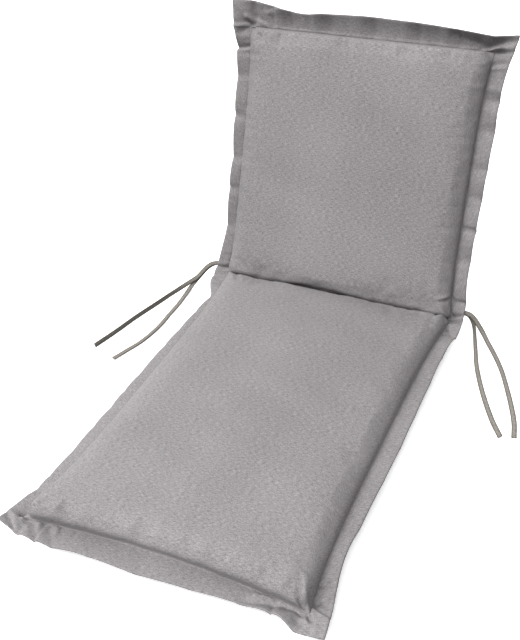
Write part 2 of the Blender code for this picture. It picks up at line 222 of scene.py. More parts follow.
# Single folds in the cloth, in millimetres: a ridge (height above 0) or a trough from one place
# to another, the share of the height left at its end, and how deep the cloth dips beside it
Fold = namedtuple("Fold", "across along to_across to_along width height end_share dip")
FOLDS = (
    # Top left corner
    Fold(-224, 474, -190, 464, 2.8, 5.5, 0.5, 0.7),
    Fold(-216, 466, -192, 451, 3.0, 4.5, 0.5, -0.7),
    Fold(-232, 448, -214, 462, 6.0, -4.5, 0.8, 0.3),
    Fold(-184, 485, -165, 488, 3.4, 4.0, 0.6, 0.8),
    Fold(-221, 466, -250, 462, 3.6, -5.0, 0.9, 0.6),
    Fold(-211, 426, -238, 419, 3.2, -4.6, 0.9, 0.6),
    Fold(-222, 474, -246, 496, 6.0, 3.5, 0.7, 0.7),
    # Top right corner
    Fold(228, 468, 194, 455, 2.8, 5.5, 0.3, -0.9),
    Fold(218, 474, 246, 478, 5.0, -5.0, 0.8, 0.5),
    Fold(222, 464, 250, 468, 4.0, 5.0, 0.8, -0.5),
    Fold(214, 438, 238, 442, 3.6, -4.0, 0.8, -0.7),
    Fold(150, 480, 205, 466, 5.0, -4.5, 0.6, 0.4),
    # Front left corner
    Fold(-238, -676, -210, -698, 3.4, -4.4, 0.8, 0.5),
    Fold(-214, -671, -192, -650, 3.6, 6.0, 0.2, 0.8),
    Fold(-224, -674, -206, -680, 4.5, 3.0, 0.5, 0.5),
    Fold(-190, -668, -176, -690, 5.0, 3.0, 0.5, -0.7),
    Fold(-163, -663, -149, -688, 6.0, 2.4, 0.5, -0.7),
    # Front right corner
    Fold(204, -664, 221, -679, 3.0, -6.5, 0.7, 0.7),
    Fold(212, -671, 197, -636, 3.8, 6.0, 0.2, 0.8),
    Fold(136, -682, 196, -667, 6.0, -4.0, 1.0, 0.4),
    Fold(206, -684, 226, -694, 4.0, -3.4, 0.7, 0.7),
    Fold(217, -664, 242, -672, 4.0, 4.4, 0.7, 0.7),
    Fold(213, -652, 236, -646, 4.5, -4.0, 0.8, 0.5),
    Fold(214, -623, 231, -615, 3.6, -3.6, 0.8, 0.6),
    # Left of the fold
    Fold(-214, 17, -245, 12, 3.2, -6.0, 1.0, -0.4),
    Fold(-210, -17, -240, -27, 3.0, -5.0, 1.0, -0.4),
    Fold(-212, -29, -238, -38, 3.4, -4.2, 0.9, -0.4),
    Fold(-207, -10, -184, -46, 5.0, 2.6, 0.2, 0.6),
    Fold(-210, 22, -200, 52, 3.4, 3.0, 0.2, 0.8),
    # Right of the fold
    Fold(212, 6, 240, 15, 3.2, -5.6, 1.0, -0.4),
    Fold(212, -9, 240, -3, 3.2, -5.6, 1.0, -0.4),
    Fold(211, -18, 230, -40, 3.6, -4.2, 0.6, 0.4),
    Fold(210, 10, 194, 38, 3.4, 4.6, 0.2, -0.8),
    Fold(208, -8, 182, -38, 3.8, 4.4, 0.3, -0.7),
    Fold(197, -6, 190, -44, 3.4, -3.2, 0.4, 0.6),
    Fold(209, 48, 190, 40, 3.0, 3.6, 0.2, 0.8),
    # Short puckers on the walls of the back
    Fold(208, 283, 196, 280, 3.0, 1.8, 0.2, 0.6),
    Fold(-208, 310, -195, 314, 3.4, 1.6, 0.2, 0.6),
    Fold(-208, 221, -194, 216, 3.4, 1.4, 0.2, 0.6),
)

# Small puckers that the thread draws in the cloth along every seam, broad unevenness of the
# filling, its lumps beside the front and top seams, and its rise towards the front. A wave has
# a length in millimetres, a share of the height, and a phase.
Wave = namedtuple("Wave", "length share phase")
PUCKER_WAVES = (Wave(12.7, 0.32, 0.4), Wave(18.9, 0.38, 2.1), Wave(31.0, 0.30, 4.0))
PUCKER_HEIGHT = 0.0009
PUCKER_REACH_PAD = 0.0085
PUCKER_REACH_FLANGE = 0.0065
PUCKER_SHIFT_SIDE = 0.37
PUCKER_SHIFT_BACK = 0.21
UNEVEN_ALONG = (Wave(212, 0.40, 0.7), Wave(131, 0.34, 2.9), Wave(83, 0.26, 5.0))
UNEVEN_ACROSS = (Wave(236, 0.42, 1.9), Wave(148, 0.33, 4.3), Wave(97, 0.25, 0.2))
UNEVEN_HEIGHT = 0.0016
UNEVEN_SKEW_ALONG = 0.3
UNEVEN_SKEW_ACROSS = 0.2
LUMP_WAVES = (Wave(58, 0.42, 1.1), Wave(37, 0.33, 3.7), Wave(97, 0.25, 5.2))
LUMP_HEIGHT = 0.0024
LUMP_REACH = 0.018
FRONT_RISE = 0.0082
FRONT_RISE_REACH = 0.062

# Where folds and puckers reach their full height: distance from a seam and from the fold, and
# share of the flange's width
RELIEF_START = 0.004
RELIEF_FOLD_START = 0.012
RIPPLE_START = 0.12

# Settling of the sewn cover over its filling, and how firmly each part is held meanwhile
SETTLE_FRAMES = 18
SETTLE_CAP = 0.0045
SETTLE_START = 0.024
FLANGE_SETTLE = 0.15
CLOTH_EXCESS = 0.006
HOLD_FACE = 0.12
HOLD_UNDERSIDE = 0.9
HOLD_REAR = 0.3
HOLD_FLANGE = 0.75

# Tie tapes. The section is the upper half of a tape's rounded outline, as shares of half its
# width and half its thickness.
TAPE_WIDTH = 0.008
TAPE_THICKNESS = 0.0014
TAPE_STEP = 0.0022
TAPE_CURL = 0.0005
TAPE_CURL_RUN = 0.043
TAPE_RIPPLE_RUN = 0.017
TAPE_RIPPLE_SHARE = 0.4
TAPE_CURL_START = 0.03
TAPE_CURL_LEVEL = 0.4
FIRST_TAPE_PHASE = 0.6
TAPE_PHASE_STEP = 1.7
TAPE_SECTION = (
    (-1.0, 0.0), (-0.94, 0.7), (-0.6, 0.95), (-0.2, 1.0),
    (0.2, 1.0), (0.6, 0.95), (0.94, 0.7), (1.0, 0.0),
)

# Routes of the tie tapes, in millimetres, from the side seam behind the flange, over its edge
# and along the surface. Turn is the angle of the tape's width from level, in degrees.
Point = namedtuple("Point", "x y z turn")
TIES = {
    "tie_left_long": (
        Point(-217.5, 339.3, 44.9, 70), Point(-227, 338.7, 45.1, 68), Point(-237, 337.9, 45.6, 62),
        Point(-243.5, 334.8, 46.2, 58), Point(-251, 330.8, 45.3, 54), Point(-259.1, 325.0, 40, 50),
        Point(-266.1, 318.8, 32, 48), Point(-273.4, 312.4, 23, 50), Point(-287.5, 300.2, 13.5, 58),
        Point(-299.2, 284.1, 7.5, 64), Point(-310.7, 254.7, 5.0, 70), Point(-319.1, 226.6, 4.4, 70),
        Point(-335.1, 167.8, 4.4, 70), Point(-344.4, 125.5, 4.4, 68), Point(-358.7, 70.1, 4.4, 64),
    ),
    "tie_left_short": (
        Point(-217.5, 341.3, 44.2, 70), Point(-227, 340.7, 44.3, 68), Point(-237, 339.9, 44.7, 62),
        Point(-244, 337.0, 44.8, 58), Point(-252, 333.0, 42.4, 54), Point(-260.3, 327.3, 36.4, 50),
        Point(-267.4, 321.6, 28.0, 46), Point(-275, 315.6, 18.0, 38), Point(-281.8, 305.0, 8.5, 22),
        Point(-283.4, 277.5, 2.6, 8), Point(-281.7, 242.0, 1.5, 4), Point(-282.0, 207.8, 1.3, 4),
        Point(-281.4, 171.9, 1.3, 4), Point(-284.1, 141.5, 1.3, 4), Point(-291.1, 106.9, 1.3, 4),
        Point(-300.0, 81.2, 1.3, 4), Point(-310.2, 52.3, 1.3, 4),
    ),
    "tie_right_outer": (
        Point(217.5, 339.0, 45.0, 110), Point(226, 338.0, 45.4, 111), Point(235, 336.6, 46.2, 115),
        Point(240.5, 336.4, 46.3, 118), Point(247.5, 337.0, 44.3, 122), Point(255.3, 336.6, 38, 125),
        Point(264.5, 333.9, 28, 127), Point(273.8, 329.8, 17.5, 128), Point(283.7, 320.8, 9, 130),
        Point(299.5, 299.2, 4.8, 132), Point(323.0, 257.4, 4.0, 134), Point(343.9, 208.6, 3.9, 140),
        Point(359.1, 169.3, 3.2, 152), Point(370.5, 136.0, 1.8, 170), Point(377.9, 101.7, 1.3, 176),
    ),
    "tie_right_inner": (
        Point(217.5, 340.9, 44.3, 110), Point(226, 339.9, 44.6, 111), Point(235, 338.5, 45.2, 114),
        Point(240.5, 338.6, 44.6, 112), Point(247.0, 339.4, 40.4, 108), Point(252.2, 339.4, 32, 106),
        Point(255.9, 337.4, 22.5, 108), Point(258.8, 332.9, 13.5, 116), Point(262.5, 322.2, 7.8, 126),
        Point(268.1, 303.5, 4.8, 134), Point(283.0, 252.1, 3.8, 142), Point(302.2, 201.6, 3.5, 146),
        Point(319.9, 162.6, 3.3, 148), Point(340.5, 122.7, 3.0, 150), Point(358.1, 94.6, 2.9, 152),
    ),
}

# Stitches along the seams
STITCH_PITCH = 0.0042
STITCH_LENGTH = 0.0030
THREAD_RADIUS = 0.00030
STITCH_RISE = 0.0002

# Woven cloth: shares of its tone and height, sizes of its specks and broad changes across and
# along, and where the painted shade along a tape's two edges starts and ends, as shares of its width
WEFT_SHARE = 0.46
WARP_SHARE = 0.24
SPECK_SHARE = 0.22
BROAD_SHARE = 0.08
WEAVE_SHARE = 0.35
SPECK_SIZE = (0.0014, 0.0014)
BROAD_SIZE = (0.16, 0.20)
TAPE_EDGE_START = 0.25
TAPE_EDGE_END = 0.46
# Colour of the painted shade laid along a tape's two edges
TAPE_PAINTED_SHADE_COLOUR = (0.06, 0.055, 0.05, 1.0)

# Soft lights in the surround, in degrees: azimuth is 0 from the front and 90 from the right, and
# a light's glow narrows as its sharpness grows
Light = namedtuple("Light", "azimuth elevation sharpness strength")
LIGHTS = (
    Light(-46, 50, 26, 6.20),
    Light(18, 50, 26, 6.60),
    Light(-92, 30, 9, 1.30),
    Light(-174, 20, 8, 2.60),
)
LIGHTS_LOWEST = -0.04
HORIZON_GLOW = 0.80
DIM_GLOW = 0.05
HORIZON_START = 0.03
HORIZON_END = 0.12
FLOOR_REACH = 14.0
FLOOR_HEIGHT = -0.0004
FLOOR_GLOW = 0.30
VIEW_EXPOSURE = 0.53
VIEW_GAMMA = 0.70

# Camera
CAMERA_PLACE = (0.5117, -1.0478, 1.0285)
CAMERA_RIGHT = (0.9123, 0.4072, -0.0436)
CAMERA_AHEAD = (-0.3548, 0.7329, -0.5805)
CAMERA_LENS = 54.345
CAMERA_SENSOR = 36.0


def column(table, name):
    """One named column of a table, as an array."""
    return np.array([row._asdict()[name] for row in table], dtype=float)


def curve_values(places, values, at):
    """Values of a smooth curve through the given rows of values, at an array of places."""
    places = np.asarray(places, dtype=float)
    values = np.asarray(values, dtype=float)
    slopes = np.gradient(values, places, axis=0)
    at = np.clip(at, places[0], places[-1])
    index = np.clip(np.searchsorted(places, at, side="right") - 1, 0, len(places) - 2)
    span = (places[index + 1] - places[index]).reshape(at.shape + (1,) * (values.ndim - 1))
    share = (at - places[index]).reshape(span.shape) / span
    square = share * share
    cube = square * share
    start = (2 * cube - 3 * square + 1) * values[index]
    end = (3 * square - 2 * cube) * values[index + 1]
    start_slope = (cube - 2 * square + share) * span * slopes[index]
    end_slope = (cube - square) * span * slopes[index + 1]
    return start + end + start_slope + end_slope


def table_values(table, place, name, at):
    """A table's named column at places given in metres, as metres."""
    return curve_values(column(table, place), column(table, name), at / MM) * MM


def wave_sum(waves, at):
    """Sum of a table's waves at places in metres, from about -1 to 1."""
    total = 0.0
    for wave in waves:
        total = total + wave.share * np.sin(2 * math.pi * at / (wave.length * MM) + wave.phase)
    return total


def seam_half_width(along):
    """Half the width between the side seams, drawn in between the corners."""
    seat = SEAM_HALF_WIDTH - SEAT_SIDE_DRAW * (1 - (2 * -along / SEAT_LENGTH - 1) ** 4)
    back = SEAM_HALF_WIDTH - BACK_SIDE_DRAW * (1 - (2 * along / BACK_LENGTH - 1) ** 4)
    return np.where(along < 0, seat, back)


def front_seam(across_share):
    """Distance from the fold to the front seam, drawn in between the corners."""
    return SEAT_LENGTH - FRONT_DRAW * (1 - across_share * across_share)


def fold_path(along, bend):
    """Points and normals of the flange plane at distances from the fold, as arrays of (x, y, z)."""
    slope_y = math.cos(BACK_SLOPE)
    slope_z = math.sin(BACK_SLOPE)
    back = along > 0
    point_y = np.where(back, along * slope_y, along)
    point_z = np.where(back, along * slope_z, 0.0)
    tangent_y = np.where(back, slope_y, 1.0)
    tangent_z = np.where(back, slope_z, 0.0)
    crease = (along == 0) & (bend == 0)
    tangent_y = np.where(crease, math.cos(BACK_SLOPE / 2), tangent_y)
    tangent_z = np.where(crease, math.sin(BACK_SLOPE / 2), tangent_z)
    turning = np.abs(along) < bend
    share = np.where(turning, (along + bend) / np.maximum(2 * bend, 1e-9), 0.0)
    point_y = np.where(turning, -bend * (1 - share) ** 2 + bend * slope_y * share ** 2, point_y)
    point_z = np.where(turning, bend * slope_z * share ** 2, point_z)
    tangent_y = np.where(turning, (1 - share) + slope_y * share, tangent_y)
    tangent_z = np.where(turning, slope_z * share, tangent_z)
    size = np.hypot(tangent_y, tangent_z)
    zero = np.zeros_like(size)
    base = np.stack([zero, FOLD_Y + point_y, UNDER_DEPTH + point_z], axis=-1)
    normal = np.stack([zero, -tangent_z / size, tangent_y / size], axis=-1)
    return base, normal


def side_share(distance, reach, roundness):
    """Share of the full depth that the filling has at a distance from a seam."""
    inward = 1 - np.clip(distance / reach, 0.0, 1.0)
    return (1 - inward ** roundness) ** (1 / roundness)


def least(shares):
    """A soft least of several shares that is exactly 1 where all of them are 1."""
    total = sum(np.maximum(share, 0.001) ** -CORNER_SHARPNESS for share in shares)
    return (total - (len(shares) - 1)) ** (-1 / CORNER_SHARPNESS)


def pad_depths(across, along, end_distance):
    """Depths of the filling over and under the flange plane inside the seams."""
    half = seam_half_width(along)
    fold_distance = np.abs(along)
    side_distance = half - np.abs(across)
    corner_distance = side_distance + np.minimum(end_distance, fold_distance) - CORNER_CUT
    shares = [
        side_share(side_distance, SIDE_REACH, SIDE_ROUNDNESS),
        side_share(end_distance, END_REACH, END_ROUNDNESS),
        side_share(fold_distance, SIDE_REACH, SIDE_ROUNDNESS),
        side_share(corner_distance, SIDE_REACH, SIDE_ROUNDNESS),
    ]
    under = UNDER_DEPTH * least(shares)
    length = np.where(along < 0, SEAT_LENGTH, BACK_LENGTH)
    middle = 2 * fold_distance / length - 1
    crown = CROWN * np.maximum(1 - (across / half) ** 4, 0.0) * np.maximum(1 - middle ** 4, 0.0)
    over = (OVER_DEPTH + crown) * least(shares)
    fold_limit = FOLD_FACE_SLOPE * fold_distance
    gap = fold_limit - over
    over = (fold_limit + over - np.sqrt(gap * gap + FOLD_ROUNDING ** 2) + FOLD_ROUNDING) / 2
    return np.clip(over, 0.0, fold_limit), under


def billow(along, creases):
    """Share of the billow's depth that a flange dips by: 1 in a full crease, less between."""
    dip = np.zeros_like(along)
    for start, end in zip(creases[:-1], creases[1:]):
        share = (along - start.along * MM) / ((end.along - start.along) * MM)
        inside = (share >= 0) & (share <= 1)
        share = np.clip(share, 0.0, 1.0)
        depth = start.share + (end.share - start.share) * share
        swell = np.maximum(np.sin(math.pi * share ** start.skew), 0.0) ** BILLOW_FULLNESS
        dip = np.where(inside, depth * (1 - swell), dip)
    before = np.abs(along - creases[0].along * MM)
    after = np.abs(along - creases[-1].along * MM)
    outside = (along < creases[0].along * MM) | (along > creases[-1].along * MM)
    fade = np.maximum(1 - np.minimum(before, after) / BILLOW_FADE, 0.0)
    return np.where(outside, fade, dip)


def side_edge(side, along):
    """Outer edge of the side flanges: distance from the middle, lift, and lift of the slack cloth."""
    left = side < 0
    out = np.where(
        left,
        table_values(SIDE_EDGE, "along", "left", along),
        table_values(SIDE_EDGE, "along", "right", along),
    )
    lift = np.where(
        left,
        table_values(SIDE_EDGE, "along", "left_lift", along),
        table_values(SIDE_EDGE, "along", "right_lift", along),
    )
    dip = np.where(left, billow(along, LEFT_CREASES), billow(along, RIGHT_CREASES))
    slack = np.interp(along, (-FOLD_ZONE - SEAT_SLACK_BLEND, -FOLD_ZONE), (SEAT_SLACK_SHARE, 1.0))
    return side * out, lift, SIDE_BILLOW * slack * (BILLOW_MEAN - dip)


def even_steps(start, end, step):
    """Even steps of about the given size, from just after the start up to the end."""
    return np.linspace(start, end, round((end - start) / step) + 1)[1:]


def profile_places(turns, reach, roundness, step):
    """Distances from a seam that follow the filling's rounded profile, then even steps."""
    turned = reach * (1 - np.cos(np.radians(turns)) ** (2 / roundness))
    return np.concatenate([turned, even_steps(turned[-1], SEAM_ZONE, step)])


def drawn_in(across, half):
    """Places across a row whose seams are drawn in: full steps beside them, closer between."""
    rim = SEAM_HALF_WIDTH - SEAM_ZONE
    inner = np.abs(across) / rim * (half - SEAM_ZONE)
    beside = np.abs(across) - SEAM_HALF_WIDTH + half
    return np.sign(across) * np.where(np.abs(across) < rim, inner, beside)


Grid = namedtuple("Grid", "across along side_out end_out columns rows")


def pad_places(steps):
    """Places across the pad, from the left seam to the right one."""
    beside = profile_places(steps.side_turns, SIDE_REACH, SIDE_ROUNDNESS, steps.corner)
    corner = even_steps(SEAM_ZONE, CORNER_ZONE, steps.corner)
    middle = even_steps(CORNER_ZONE, SEAM_HALF_WIDTH, steps.middle)
    left = np.concatenate([beside, corner, middle])
    return np.concatenate([left - SEAM_HALF_WIDTH, (SEAM_HALF_WIDTH - left)[-2::-1]])


def section_places(steps, length):
    """Distances from the fold to the far seam of a section."""
    beside = profile_places(steps.end_turns, END_REACH, END_ROUNDNESS, steps.corner)
    end = np.concatenate([beside, even_steps(SEAM_ZONE, END_ZONE, steps.corner)])
    fold = even_steps(steps.fold_places[-1], FOLD_ZONE, steps.corner)
    middle = even_steps(FOLD_ZONE, length - END_ZONE, steps.along)
    return np.concatenate([steps.fold_places, fold, middle, (length - end)[-2::-1]])


def cover_grid(steps):
    """Rows from the front edge to the top edge, columns from the left edge to the right one."""
    out = np.array(steps.out)
    none = np.zeros_like(out)
    pad = pad_places(steps)
    seat = -section_places(steps, SEAT_LENGTH)[::-1]
    back = section_places(steps, BACK_LENGTH)[1:]
    section = np.concatenate([seat, back])
    across = np.concatenate([none + pad[0], pad, none + pad[-1]])
    side_out = np.concatenate([out[::-1], np.zeros_like(pad), out])
    along = np.concatenate([none + section[0], section, none + section[-1]])
    end_out = np.concatenate([out[::-1], np.zeros_like(section), out])
    columns = across + np.sign(across) * side_out * FLANGE_ROOM
    rows = along + np.sign(along) * end_out * FLANGE_ROOM
    along, across = np.meshgrid(along, across, indexing="ij")
    end_out, side_out = np.meshgrid(end_out, side_out, indexing="ij")
    return Grid(across, along, side_out, end_out, columns, rows)


Layout = namedtuple("Layout", "across along lift inside seam_run seam_distance")


def cover_layout(grid):
    """Where the grid's points lie on the flange plane, and how far the plane is lifted there."""
    seat = grid.along < 0
    side = np.sign(grid.across)
    half = seam_half_width(grid.along)
    reach = np.where(seat, front_seam(drawn_in(grid.across, half) / half), BACK_LENGTH)
    length = np.where(seat, SEAT_LENGTH, BACK_LENGTH)
    seam_along = grid.along * reach / length
    half = seam_half_width(seam_along)
    seam_across = drawn_in(grid.across, half)
    out, side_lift, side_slack = side_edge(side, seam_along)
    front_along = table_values(FRONT_EDGE, "across", "along", seam_across)
    top_along = table_values(TOP_EDGE, "across", "along", seam_across)
    front_slack = FRONT_BILLOW * (BILLOW_MEAN - billow(seam_across, FRONT_CREASES))
    top_slack = TOP_BILLOW * (BILLOW_MEAN - billow(seam_across, TOP_CREASES))
    front_lift = table_values(FRONT_EDGE, "across", "lift", seam_across)
    top_lift = table_values(TOP_EDGE, "across", "lift", seam_across)
    edge_along = np.where(seat, front_along, top_along)
    end_lift = np.where(seat, front_lift, top_lift)
    end_slack = np.where(seat, front_slack, top_slack)
    tips = np.array([[TOP_EDGE[0], TOP_EDGE[-1]], [FRONT_EDGE[0], FRONT_EDGE[-1]]], dtype=float)
    tip = tips[seat.astype(int), (side >= 0).astype(int)] * MM
    at_side = grid.side_out * (1 - grid.end_out)
    at_end = (1 - grid.side_out) * grid.end_out
    at_tip = grid.side_out * grid.end_out
    at_seam = (1 - grid.side_out) * (1 - grid.end_out)
    across = (at_seam + at_end) * seam_across + at_side * out + at_tip * tip[..., 0]
    along = (at_seam + at_side) * seam_along + at_end * edge_along + at_tip * tip[..., 1]
    lean = np.where(seat, grid.end_out, grid.end_out ** TOP_LEAN)
    lift = at_side * side_lift + (1 - grid.side_out) * lean * end_lift + at_tip * tip[..., 2]
    lift += grid.side_out ** SLACK_START * (1 - grid.end_out) * side_slack
    lift += grid.end_out ** SLACK_START * (1 - grid.side_out) * end_slack
    inside = (grid.side_out == 0) & (grid.end_out == 0)
    to_side = np.abs(half - np.abs(across))
    to_end = np.abs(np.abs(along) - reach)
    seam_distance = np.where(inside, np.minimum(to_side, to_end), np.hypot(
        np.where(grid.side_out > 0, to_side, 0.0), np.where(grid.end_out > 0, to_end, 0.0)))
    beside_end = np.where(inside, to_end < to_side, grid.end_out > 0)
    seam_run = np.where(beside_end, across, along)
    seam_run = seam_run + side * PUCKER_SHIFT_SIDE + np.where(seat, 0.0, PUCKER_SHIFT_BACK)
    return Layout(across, along, lift, inside, seam_run, seam_distance)


def fold_relief(across, along):
    """Height of the single folds at places on the cloth."""
    total = np.zeros_like(across)
    for fold in FOLDS:
        start = np.array([fold.across, fold.along]) * MM
        run = np.array([fold.to_across, fold.to_along]) * MM - start
        size = math.hypot(*run)
        ahead = run / size
        width = fold.width * MM
        offset_x = across - start[0]
        offset_y = along - start[1]
        forward = offset_x * ahead[0] + offset_y * ahead[1]
        aside = offset_x * -ahead[1] + offset_y * ahead[0]
        past = np.maximum(np.maximum(-forward, forward - size), 0.0)
        strength = 1 - (1 - fold.end_share) * np.clip(forward / size, 0.0, 1.0)
        strength = strength * np.exp(-(past / (FOLD_RUN_ON * width)) ** 2)
        beside = aside - math.copysign(FOLD_DIP_PLACE * width, fold.dip)
        dip = abs(fold.dip) * np.exp(-(beside / width) ** 2)
        crest = np.exp(-np.abs(aside / width) ** FOLD_CREST)
        total += FOLD_STRENGTH * fold.height * MM * strength * (crest - dip)
    return total


def pucker_relief(layout, reach):
    """Height of the small puckers that the thread draws beside every seam."""
    near = layout.seam_distance / reach
    return PUCKER_HEIGHT * wave_sum(PUCKER_WAVES, layout.seam_run) * near * np.exp(1 - near)


def uneven_relief(across, along):
    """Broad unevenness of the filling."""
    lengthwise = wave_sum(UNEVEN_ALONG, along + UNEVEN_SKEW_ALONG * across)
    crosswise = wave_sum(UNEVEN_ACROSS, across - UNEVEN_SKEW_ACROSS * along)
    return UNEVEN_HEIGHT * (lengthwise + crosswise) / 2


def cover_shape(steps):
    """The grid, its places on the cloth, the cover's upper and lower points, and its seams."""
    grid = cover_grid(steps)
    layout = cover_layout(grid)
    across, along, lift, inside = layout.across, layout.along, layout.lift, layout.inside
    on_seam = inside & ((np.abs(grid.across) == SEAM_HALF_WIDTH) | (grid.along == 0)
                        | (grid.along == -SEAT_LENGTH) | (grid.along == BACK_LENGTH))
    reach = np.where(along < 0, front_seam(across / seam_half_width(along)), BACK_LENGTH)
    to_side = seam_half_width(along) - np.abs(across)
    to_end = reach - np.abs(along)
    over, under = pad_depths(across, along, to_end)
    depth = np.clip(over / OVER_DEPTH, 0.0, 1.0)
    nearness = np.hypot(to_side, to_end) + 1e-6
    bulge = WALL_BULGE * 4 * depth * (1 - depth)
    bulge_across = np.where(inside, np.sign(across) * bulge * (to_end / nearness) ** 2, 0.0)
    belly = np.where(along < 0, FRONT_BELLY * depth ** 2 * (1 - depth), bulge)
    bulge_along = np.where(inside, np.sign(along) * belly * (to_side / nearness) ** 2, 0.0)
    bulge_along = bulge_along * np.clip(np.abs(along) / BULGE_START - 1, 0.0, 1.0)
    folds = fold_relief(across, along)
    seam_room = np.clip(layout.seam_distance / RELIEF_START, 0.0, 1.0)
    fold_room = np.clip(np.abs(along) / RELIEF_FOLD_START, 0.0, 1.0)
    relief = (folds + pucker_relief(layout, PUCKER_REACH_PAD)) * seam_room * fold_room
    lumps = LUMP_HEIGHT * wave_sum(LUMP_WAVES, across) * np.exp(-(to_end / LUMP_REACH) ** 2)
    front_rise = np.where(along < 0, FRONT_RISE * np.exp(-(to_end / FRONT_RISE_REACH) ** 2), 0.0)
    relief = relief + (uneven_relief(across, along) + lumps + front_rise) * depth
    upper = np.where(on_seam, SEAM_SKIN, np.maximum(SEAM_SKIN + over + relief, SEAM_SKIN))
    lower = np.where(on_seam, -SEAM_SKIN, -np.maximum(under, SEAM_SKIN))
    out = 1 - (1 - grid.side_out) * (1 - grid.end_out)
    slack = np.sin(math.pi * np.clip(out * SKIN_TURN, 0.0, 1.0)) ** SKIN_FULLNESS
    skin = SEAM_SKIN + (FLANGE_SKIN - SEAM_SKIN) * slack
    ripple = folds + pucker_relief(layout, PUCKER_REACH_FLANGE)
    ripple = ripple * np.clip(out / RIPPLE_START, 0.0, 1.0) * (1 - EDGE_CALM * out ** 2)
    outside = np.where((along > 0) & (grid.end_out > 0), np.abs(along) - reach, 1.0)
    lip = LIP_HEIGHT * (LIP_MEAN + LIP_WAVE * wave_sum(PUCKER_WAVES, LIP_STRETCH * across))
    lip = lip * np.exp(-((outside - LIP_PLACE) / LIP_WIDTH) ** 2) * (1 - grid.side_out)
    middle = lift + ripple + lip
    upper = np.where(inside, upper, middle + skin)
    lower = np.where(inside, lower, middle - skin)
    bend = FLANGE_BEND * grid.side_out
    base, normal = fold_path(along + bulge_along, bend)
    shifted = across + bulge_across
    base = base + np.stack([shifted, np.zeros_like(across), np.zeros_like(across)], axis=-1)
    return grid, layout, base + normal * upper[..., None], base + normal * lower[..., None], on_seam


def edge_loop(height, width):
    """Indices of the grid's border, anticlockwise seen from the filled face."""
    loop = list(range(width))
    loop += [row * width + width - 1 for row in range(1, height)]
    loop += [(height - 1) * width + place for place in range(width - 2, -1, -1)]
    loop += [row * width for row in range(height - 2, 0, -1)]
    return loop


def cover_mesh(name, upper, lower, cloth):
    """A closed mesh: an upper face, a lower face and a rounded rim, with the cloth's own map."""
    height, width = upper.shape[:2]
    below = height * width
    loop = edge_loop(height, width)
    flat_upper = upper.reshape(-1, 3)
    flat_lower = lower.reshape(-1, 3)
    middle = (flat_upper[loop] + flat_lower[loop]) / 2
    inner = [row_inward(index, height, width) for index in loop]
    outward = middle - (flat_upper[inner] + flat_lower[inner]) / 2
    outward /= np.linalg.norm(outward, axis=1, keepdims=True)
    rim = middle + outward * RIM_ROUNDING
    points = np.concatenate([flat_upper, flat_lower, rim])
    rows, places = np.meshgrid(np.arange(height - 1), np.arange(width - 1), indexing="ij")
    first = (rows * width + places).ravel()
    top = np.stack([first, first + 1, first + width + 1, first + width], axis=1)
    bottom = below + top[:, ::-1]
    start = np.array(loop)
    end = np.roll(start, -1)
    mid = 2 * below + np.arange(len(loop))
    mid_end = np.roll(mid, -1)
    high = np.stack([start, mid, mid_end, end], axis=1)
    low = np.stack([mid, below + start, below + end, mid_end], axis=1)
    faces = np.concatenate([top, bottom, high, low])
    mesh = bpy.data.meshes.new(name)
    mesh.from_pydata(points.tolist(), [], faces.tolist())
    flat = cloth.reshape(-1, 2)
    finish_cloth(mesh, np.concatenate([flat, flat, flat[loop]]))
    return mesh


def finish_cloth(mesh, places):
    """Give a mesh smooth shading and the cloth map, from its points' places on the flat cloth."""
    layer = mesh.uv_layers.new(name="cloth")
    corners = np.zeros(len(mesh.loops), dtype=np.int32)
    mesh.loops.foreach_get("vertex_index", corners)
    layer.data.foreach_set("uv", places[corners].astype(np.float32).ravel())
    mesh.shade_smooth()
    mesh.update()


def row_inward(index, height, width):
    """The grid point one step inwards of a border point."""
    row, place = divmod(index, width)
    row = min(max(row, 1), height - 2)
    place = min(max(place, 1), width - 2)
    return row * width + place


def cloth_map(upper):
    """Places on the flat cloth, in metres, from the run of the surface along rows and columns."""
    height, width = upper.shape[:2]
    across = np.linalg.norm(np.diff(upper, axis=1), axis=2)
    along = np.linalg.norm(np.diff(upper, axis=0), axis=2)
    across = np.concatenate([np.zeros((height, 1)), np.cumsum(across, axis=1)], axis=1)
    along = np.concatenate([np.zeros((1, width)), np.cumsum(along, axis=0)], axis=0)
    across = across - across[:, width // 2][:, None]
    return np.stack([across, along], axis=-1)


def add_object(name, data):
    """An object in the scene, at the origin."""
    item = bpy.data.objects.new(name, data)
    bpy.context.scene.collection.objects.link(item)
    return item


def add_piece(name, mesh, material, slot, *nodes):
    """A finished piece at the origin that rides on the root and stands for its CAD nodes."""
    piece = add_object(name, mesh)
    mesh.materials.clear()
    mesh.materials.append(material)
    if nodes:
        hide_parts(*nodes)
    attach(piece, "root")
    return piece


